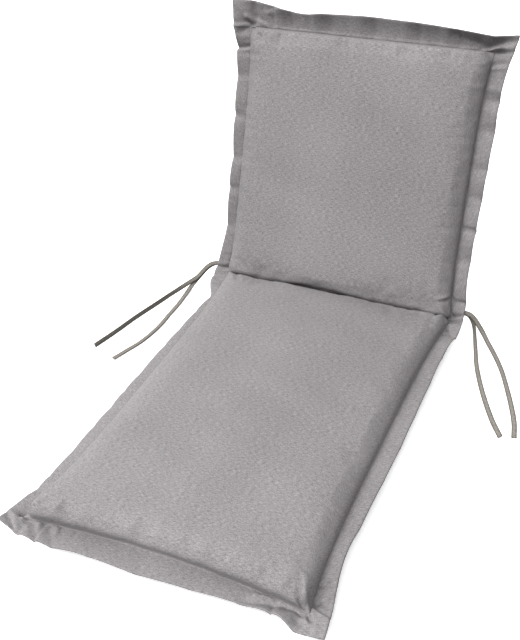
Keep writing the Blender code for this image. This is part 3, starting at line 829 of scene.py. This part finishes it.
def settle(upper, lower, held_upper, held_lower):
    """Let the sewn cover settle over its filling, and return how far each point moves."""
    shape = upper.shape
    mesh = cover_mesh("settling", upper, lower, np.zeros(shape[:2] + (2,)))
    item = add_object("settling", mesh)
    held = item.vertex_groups.new(name="held")
    rim = np.ones(len(mesh.vertices) - 2 * shape[0] * shape[1])
    weights = np.concatenate([held_upper.ravel(), held_lower.ravel(), rim])
    for level in np.unique(weights.round(2)):
        held.add(np.nonzero(weights.round(2) == level)[0].tolist(), float(level), "REPLACE")
    modifier = item.modifiers.new("settling", "CLOTH")
    cloth = modifier.settings
    cloth.quality = 5
    cloth.mass = 0.15
    cloth.tension_stiffness = 20
    cloth.compression_stiffness = 20
    cloth.shear_stiffness = 8
    cloth.bending_stiffness = 2.0
    cloth.tension_damping = 15
    cloth.compression_damping = 15
    cloth.shear_damping = 15
    cloth.bending_damping = 2
    cloth.air_damping = 5
    cloth.vertex_group_mass = "held"
    cloth.pin_stiffness = 1.0
    cloth.shrink_min = -CLOTH_EXCESS
    cloth.shrink_max = -CLOTH_EXCESS
    cloth.use_pressure = True
    cloth.uniform_pressure_force = 4.0
    cloth.effector_weights.gravity = 0.0
    modifier.collision_settings.use_collision = False
    modifier.collision_settings.use_self_collision = False
    modifier.point_cache.frame_start = 1
    modifier.point_cache.frame_end = SETTLE_FRAMES
    scene = bpy.context.scene
    for moment in range(1, SETTLE_FRAMES + 1):
        scene.frame_set(moment)
    settled = item.evaluated_get(bpy.context.evaluated_depsgraph_get()).to_mesh()
    places = np.zeros(len(settled.vertices) * 3, dtype=np.float32)
    settled.vertices.foreach_get("co", places)
    places = places.reshape(-1, 3).astype(float)
    scene.frame_set(1)
    bpy.data.objects.remove(item, do_unlink=True)
    bpy.data.meshes.remove(mesh)
    count = shape[0] * shape[1]
    shifts = []
    for start, end in ((upper, places[:count]), (lower, places[count:2 * count])):
        shift = end.reshape(shape) - start
        size = np.linalg.norm(shift, axis=2, keepdims=True)
        shifts.append(shift * (np.tanh(size / SETTLE_CAP) * SETTLE_CAP / np.maximum(size, 1e-9)))
    return shifts


def apart_at_fold(points, seat):
    """Keep the two sections' faces on their own sides of the fold."""
    lean = BACK_SLOPE / 2
    normal = np.array([0.0, math.cos(lean), math.sin(lean)])
    height = (points - np.array([0.0, FOLD_Y, UNDER_DEPTH])) @ normal
    limit = np.where(seat, np.minimum(height, -FOLD_CLEARANCE), np.maximum(height, FOLD_CLEARANCE))
    return points + (limit - height)[..., None] * normal


def settled_shifts(fine):
    """How far each point of the fine grid moves as the sewn cover settles on a coarser one."""
    grid, layout, upper, lower, on_seam = cover_shape(COARSE)
    held_below = np.where(layout.along < 0, HOLD_UNDERSIDE, HOLD_REAR)
    held_upper = np.where(on_seam, 1.0, np.where(layout.inside, HOLD_FACE, HOLD_FLANGE))
    held_lower = np.where(on_seam, 1.0, np.where(layout.inside, held_below, HOLD_FLANGE))
    shifts = []
    for shift in settle(upper, lower, held_upper, held_lower):
        by_row = curve_values(grid.rows, shift, fine.rows)
        by_column = curve_values(grid.columns, by_row.transpose(1, 0, 2), fine.columns)
        shifts.append(by_column.transpose(1, 0, 2))
    return shifts


def make_cushion(material):
    """The filled cover, with its flange."""
    grid, layout, upper, lower, _ = cover_shape(FINE)
    upper_shift, lower_shift = settled_shifts(grid)
    off_seam = np.clip(layout.seam_distance / SETTLE_START, 0.0, 1.0)
    share = np.where(layout.inside, off_seam, FLANGE_SETTLE)
    upper = upper + upper_shift * share[..., None]
    lower = lower + lower_shift * share[..., None]
    off_fold = (np.abs(grid.along) > 0) & layout.inside
    upper = np.where(off_fold[..., None], apart_at_fold(upper, grid.along < 0), upper)
    lower[..., 2] = np.maximum(lower[..., 2], 0.0)
    mesh = cover_mesh("cushion_cover", upper, lower, cloth_map(upper))
    piece = add_piece("cushion_cover", mesh, material, "cover_fabric", "cushion")
    return grid, upper, lower


def seam_paths(grid, upper, lower):
    """Paths just outside the seams on both faces of the flange, and along the fold from behind."""
    beside = len(FINE.out) - 1
    between = slice(beside, -beside - 1)
    fold = int(np.argmin(np.abs(grid.along[:, 0])))
    thick = upper - lower
    thick = thick / np.linalg.norm(thick, axis=2, keepdims=True)
    paths = []
    for face in (upper + thick * STITCH_RISE, lower - thick * STITCH_RISE):
        paths += [face[between, beside], face[between, -beside - 1]]
        paths += [face[beside, between], face[-beside - 1, between]]
    paths.append(lower[fold, between] - thick[fold, between] * STITCH_RISE)
    return paths


def stitch_tree(material):
    """A geometry tree that lays stitches of one size evenly along the seams' paths."""
    tree = bpy.data.node_groups.new("seam_stitches", "GeometryNodeTree")
    tree.interface.new_socket("Seams", in_out="INPUT", socket_type="NodeSocketGeometry")
    sizes = {}
    named = (("Pitch", STITCH_PITCH), ("Half length", STITCH_LENGTH / 2), ("Thread radius", THREAD_RADIUS))
    for name, value in named:
        socket = tree.interface.new_socket(name, in_out="INPUT", socket_type="NodeSocketFloat")
        sizes[socket.identifier] = value
    tree.interface.new_socket("Stitches", in_out="OUTPUT", socket_type="NodeSocketGeometry")
    given = tree.nodes.new("NodeGroupInput").outputs
    path = add_node(tree, "GeometryNodeMeshToCurve", {"Mesh": given["Seams"]})
    spots = add_node(tree, "GeometryNodeResampleCurve", {
        "Curve": path.outputs[0], "Length": given["Pitch"],
    }, mode="LENGTH")
    ahead = add_node(tree, "GeometryNodeInputTangent").outputs[0]
    turn = add_node(tree, "FunctionNodeAlignRotationToVector", {"Vector": ahead}, axis="X")
    size = add_node(tree, "ShaderNodeCombineXYZ", {
        0: given["Half length"], 1: given["Thread radius"], 2: given["Thread radius"],
    })
    bead = add_node(tree, "GeometryNodeMeshUVSphere", {"Segments": 6, "Rings": 4, "Radius": 1.0})
    stitch = add_node(tree, "GeometryNodeTransform", {
        "Geometry": bead.outputs[0], "Scale": size.outputs[0],
    })
    rounded = add_node(tree, "GeometryNodeSetShadeSmooth", {"Geometry": stitch.outputs[0]})
    laid = add_node(tree, "GeometryNodeInstanceOnPoints", {
        "Points": spots.outputs[0], "Instance": rounded.outputs[0], "Rotation": turn.outputs[0],
    })
    whole = add_node(tree, "GeometryNodeRealizeInstances", {"Geometry": laid.outputs[0]})
    finished = add_node(tree, "GeometryNodeSetMaterial", {
        "Geometry": whole.outputs[0], "Material": material,
    })
    result = tree.nodes.new("NodeGroupOutput")
    tree.links.new(finished.outputs[0], result.inputs["Stitches"])
    return tree, sizes


def make_stitches(paths, material):
    """The sewing thread along every seam, as one plain mesh."""
    points = np.concatenate(paths)
    ends = np.cumsum([len(path) for path in paths])
    edges = [(index, index + 1) for index in range(len(points) - 1) if index + 1 not in ends]
    seams = bpy.data.meshes.new("seams")
    seams.from_pydata(points.tolist(), edges, [])
    item = add_object("seams", seams)
    modifier = item.modifiers.new("stitches", "NODES")
    tree, sizes = stitch_tree(material)
    modifier.node_group = tree
    for identifier, value in sizes.items():
        modifier[identifier] = value
    mesh = bpy.data.meshes.new_from_object(item.evaluated_get(bpy.context.evaluated_depsgraph_get()))
    item.modifiers.remove(modifier)
    bpy.data.objects.remove(item, do_unlink=True)
    mesh.name = "seam_stitches"
    add_piece("seam_stitches", mesh, material, "cover_fabric")


def tape_route(points):
    """Places, directions and width directions along a tape, at an even step."""
    spots = np.array([(point.x, point.y, point.z) for point in points]) * MM
    turns = np.radians([point.turn for point in points])
    runs = np.concatenate([[0.0], np.cumsum(np.linalg.norm(np.diff(spots, axis=0), axis=1))])
    at = np.linspace(0.0, runs[-1], round(runs[-1] / TAPE_STEP) + 1)
    route = np.stack([curve_values(runs, spots[:, axis], at) for axis in range(3)], axis=-1)
    turn = curve_values(runs, turns, at)
    ahead = np.gradient(route, axis=0)
    ahead /= np.linalg.norm(ahead, axis=1, keepdims=True)
    level = np.cross(ahead, (0.0, 0.0, 1.0))
    level /= np.linalg.norm(level, axis=1, keepdims=True)
    steep = np.cross(level, ahead)
    wide = level * np.cos(turn)[:, None] + steep * np.sin(turn)[:, None]
    return at, route, ahead, wide


def tape_mesh(name, points, phase):
    """A closed flat tape with rounded edges and a slight curl, swept along its route."""
    at, route, ahead, wide = tape_route(points)
    thick = np.cross(ahead, wide)
    half_width = TAPE_WIDTH / 2
    section = [(share, rise * TAPE_THICKNESS / 2) for share, rise in TAPE_SECTION]
    section += [(share, -height) for share, height in section[-2:0:-1]]
    ripple = TAPE_RIPPLE_SHARE * TAPE_CURL * np.sin(at / TAPE_RIPPLE_RUN + 2 * phase)
    curl = TAPE_CURL * np.sin(at / TAPE_CURL_RUN + phase) + ripple
    fade = np.clip(at / TAPE_CURL_START, 0.0, 1.0)
    rings = []
    for share, height in section:
        bow = curl * fade * (share * share - TAPE_CURL_LEVEL)
        rings.append(route + wide * (share * half_width) + thick * (height + bow)[:, None])
    rings = np.stack(rings, axis=1)
    rings[..., 2] = np.maximum(rings[..., 2], 0.0)
    count, around = rings.shape[:2]
    faces = [tuple(range(around))]
    for step in range(count - 1):
        for corner in range(around):
            other = (corner + 1) % around
            first = step * around
            faces.append((first + other, first + corner, first + around + corner, first + around + other))
    faces.append(tuple((count - 1) * around + corner for corner in reversed(range(around))))
    mesh = bpy.data.meshes.new(name)
    mesh.from_pydata(rings.reshape(-1, 3).tolist(), [], faces)
    finish_cloth(mesh, np.array([(share * half_width, run) for run in at for share, _ in section]))
    return mesh, route, at[-1]


def make_ties(material):
    """The four free ends of the tie tapes."""
    for index, (name, points) in enumerate(TIES.items()):
        phase = TAPE_PHASE_STEP * index + FIRST_TAPE_PHASE
        mesh, route, length = tape_mesh(name + "_tape", points, phase)
        piece = add_piece(name + "_tape", mesh, material, "tie_tape", name)


def set_inputs(tree, item, values):
    """Set a node's inputs, each to a value or joined to another node's output."""
    for key, value in values.items():
        if isinstance(value, bpy.types.NodeSocket):
            tree.links.new(value, item.inputs[key])
        else:
            item.inputs[key].default_value = value


def add_node(tree, kind, values=None, **settings):
    """A node with its settings and its inputs."""
    item = tree.nodes.new(kind)
    for key, value in settings.items():
        setattr(item, key, value)
    set_inputs(tree, item, values or {})
    return item


def stretched_noise(tree, place, size, detail, roughness):
    """A noise from 0 to 1, with the size of its spots across and along the cloth in metres."""
    mapping = add_node(tree, "ShaderNodeMapping", {
        "Vector": place, "Scale": (1 / size[0], 1 / size[1], 1.0),
    })
    return add_node(tree, "ShaderNodeTexNoise", {
        "Vector": mapping.outputs[0], "Scale": 1.0, "Detail": detail, "Roughness": roughness,
    }, noise_dimensions="2D").outputs[0]


def colour_mix(tree, share, first, second):
    """A colour between two others, by the share of the second."""
    return add_node(tree, "ShaderNodeMix", {
        "Factor": share, 6: first, 7: second,
    }, data_type="RGBA").outputs[2]


def new_finish(name):
    """A new material, its node tree and its shader."""
    material = bpy.data.materials.new(name)
    material.use_nodes = True
    return material, material.node_tree, material.node_tree.nodes["Principled BSDF"]


def math_node(tree, operation, first, second):
    """The result of one sum on two values or outputs."""
    return add_node(tree, "ShaderNodeMath", {0: first, 1: second}, operation=operation).outputs[0]


def yarn_wave(tree, place, axis, pitch):
    """Ridges of the yarns that run one way, from 0 to 1."""
    split = add_node(tree, "ShaderNodeSeparateXYZ", {0: place}).outputs[axis]
    turn = math_node(tree, "MULTIPLY", split, 2 * math.pi / pitch)
    return math_node(tree, "MULTIPLY_ADD", math_node(tree, "SINE", turn, 0.0), 0.5)


def woven_material(name, dark, light, yarn_pitch, slub_across, slub_along, contrast, painted_edge_shade):
    """A matt melange cloth: uneven yarns both ways, slubs, a fine weave and broad tone changes.

    Painted edge shade is how much painted shade darkens a tape along its two edges.
    """
    material, tree, shader = new_finish(name)
    place = add_node(tree, "ShaderNodeUVMap", uv_map="cloth").outputs[0]
    total = 0.0
    for size, detail, roughness, share in (
        (slub_across, 3.0, 0.55, WEFT_SHARE), (slub_along, 3.0, 0.55, WARP_SHARE),
        (SPECK_SIZE, 2.0, 0.6, SPECK_SHARE), (BROAD_SIZE, 2.0, 0.5, BROAD_SHARE),
    ):
        noise = stretched_noise(tree, place, size, detail, roughness)
        total = math_node(tree, "ADD", math_node(tree, "MULTIPLY", noise, share), total)
    spread = add_node(tree, "ShaderNodeMapRange", {
        "Value": total, "From Min": 0.5 - contrast, "From Max": 0.5 + contrast,
    })
    colour = colour_mix(tree, spread.outputs[0], dark, light)
    # Painted shade: the tape's colour is darkened towards its two edges
    if painted_edge_shade > 0:
        across = add_node(tree, "ShaderNodeSeparateXYZ", {0: place}).outputs[0]
        near_edge = add_node(tree, "ShaderNodeMapRange", {
            "Value": math_node(tree, "ABSOLUTE", across, 0.0),
            "From Min": TAPE_EDGE_START * TAPE_WIDTH, "From Max": TAPE_EDGE_END * TAPE_WIDTH,
            "To Min": 0.0, "To Max": painted_edge_shade,
        })
        colour = colour_mix(tree, near_edge.outputs[0], colour, TAPE_PAINTED_SHADE_COLOUR)
    across_yarn = yarn_wave(tree, place, 0, yarn_pitch)
    along_yarn = yarn_wave(tree, place, 1, yarn_pitch)
    weave = math_node(tree, "MULTIPLY", across_yarn, along_yarn)
    height = math_node(tree, "ADD", math_node(tree, "MULTIPLY", weave, WEAVE_SHARE), total)
    bump = add_node(tree, "ShaderNodeBump", {"Height": height, "Strength": 0.5, "Distance": 0.0004})
    set_inputs(tree, shader, {
        "Base Color": colour, "Normal": bump.outputs[0], "Roughness": 0.9,
        "Specular IOR Level": 0.25, "Sheen Weight": 0.12, "Sheen Roughness": 0.45,
    })
    return material


def thread_material():
    """A twisted polyester thread, a little lighter than the cloth, uneven from stitch to stitch."""
    material, tree, shader = new_finish("sewing_thread")
    place = add_node(tree, "ShaderNodeTexCoord").outputs["Object"]
    mapping = add_node(tree, "ShaderNodeMapping", {"Vector": place, "Scale": (260.0, 260.0, 260.0)})
    noise = add_node(tree, "ShaderNodeTexNoise", {
        "Vector": mapping.outputs[0], "Scale": 1.0, "Detail": 2.0,
    }).outputs[0]
    bump = add_node(tree, "ShaderNodeBump", {"Height": noise, "Strength": 0.4, "Distance": 0.0002})
    colour = colour_mix(tree, noise, (0.20, 0.19, 0.19, 1.0), (0.42, 0.41, 0.41, 1.0))
    set_inputs(tree, shader, {"Base Color": colour, "Normal": bump.outputs[0], "Roughness": 0.6})
    return material


def make_floor():
    """A plain pale floor under the object."""
    mesh = bpy.data.meshes.new("studio_floor")
    ways = ((-1, -1), (1, -1), (1, 1), (-1, 1))
    corners = [(x * FLOOR_REACH, y * FLOOR_REACH, FLOOR_HEIGHT) for x, y in ways]
    mesh.from_pydata(corners, [], [(0, 1, 2, 3)])
    finish, tree, shader = new_finish("pale_floor")
    set_inputs(tree, shader, {
        "Base Color": (0.92, 0.92, 0.92, 1.0), "Roughness": 0.9,
        "Emission Color": (1.0, 1.0, 1.0, 1.0), "Emission Strength": FLOOR_GLOW,
    })
    mesh.materials.append(finish)
    floor = add_object("studio_floor", mesh)
    floor.visible_diffuse = False


def light_glow(tree, direction, light):
    """The strength of one broad soft light in each direction of the surround."""
    turn = math.radians(light.azimuth)
    rise = math.radians(light.elevation)
    middle = (math.cos(rise) * math.sin(turn), -math.cos(rise) * math.cos(turn), math.sin(rise))
    nearness = add_node(tree, "ShaderNodeVectorMath", {0: direction, 1: middle}, operation="DOT_PRODUCT")
    away = math_node(tree, "SUBTRACT", nearness.outputs["Value"], 1.0)
    glow = math_node(tree, "EXPONENT", math_node(tree, "MULTIPLY", away, light.sharpness), 0.0)
    return math_node(tree, "MULTIPLY", glow, light.strength)


def make_studio():
    """Four soft lights over a surround that is pale at the horizon and dim elsewhere."""
    world = bpy.data.worlds.new("pale_surround")
    world.use_nodes = True
    tree = world.node_tree
    surround = tree.nodes["Background"]
    surround.inputs["Color"].default_value = (1.0, 1.0, 1.0, 1.0)
    direction = add_node(tree, "ShaderNodeTexCoord").outputs["Generated"]
    height = add_node(tree, "ShaderNodeSeparateXYZ", {0: direction}).outputs[2]
    above = add_node(tree, "ShaderNodeMapRange", {
        "Value": height, "From Min": LIGHTS_LOWEST, "From Max": 0.0,
    }).outputs[0]
    lights = 0.0
    for light in LIGHTS:
        lights = math_node(tree, "ADD", light_glow(tree, direction, light), lights)
    lights = math_node(tree, "MULTIPLY", lights, above)
    off_level = math_node(tree, "ABSOLUTE", height, 0.0)
    horizon = add_node(tree, "ShaderNodeMapRange", {
        "Value": off_level, "From Min": HORIZON_START, "From Max": HORIZON_END,
        "To Min": HORIZON_GLOW, "To Max": DIM_GLOW,
    }, interpolation_type="SMOOTHSTEP")
    strength = math_node(tree, "ADD", lights, horizon.outputs[0])
    tree.links.new(strength, surround.inputs["Strength"])
    bpy.context.scene.world = world
    view = bpy.context.scene.view_settings
    view.view_transform = "Standard"
    view.exposure = VIEW_EXPOSURE
    view.gamma = VIEW_GAMMA


def make_camera():
    """The camera at the photograph's viewing angle."""
    data = bpy.data.cameras.new("camera")
    data.sensor_width = CAMERA_SENSOR
    data.lens = CAMERA_LENS
    camera = add_object("camera", data)
    ahead = Vector(CAMERA_AHEAD).normalized()
    right = Vector(CAMERA_RIGHT)
    right = (right - ahead * right.dot(ahead)).normalized()
    up = right.cross(ahead)
    turn = Matrix((right, up, -ahead)).transposed()
    camera.matrix_world = Matrix.Translation(CAMERA_PLACE) @ turn.to_4x4()
    bpy.context.scene.camera = camera


cover_cloth = woven_material(
    "cover_cloth", (0.205, 0.195, 0.198, 1.0), (0.470, 0.454, 0.458, 1.0),
    0.0009, (0.0066, 0.0010), (0.0010, 0.0050), 0.18, 0.0,
)
# The tie cloth's last value is the painted shade along the tape's edges
tie_cloth = woven_material(
    "tie_cloth", (0.175, 0.165, 0.152, 1.0), (0.44, 0.418, 0.385, 1.0),
    0.0008, (0.004, 0.0009), (0.0010, 0.006), 0.18, 0.62,
)
make_camera()
make_ties(tie_cloth)
make_stitches(seam_paths(*make_cushion(cover_cloth)), thread_material())
make_floor()
make_studio()
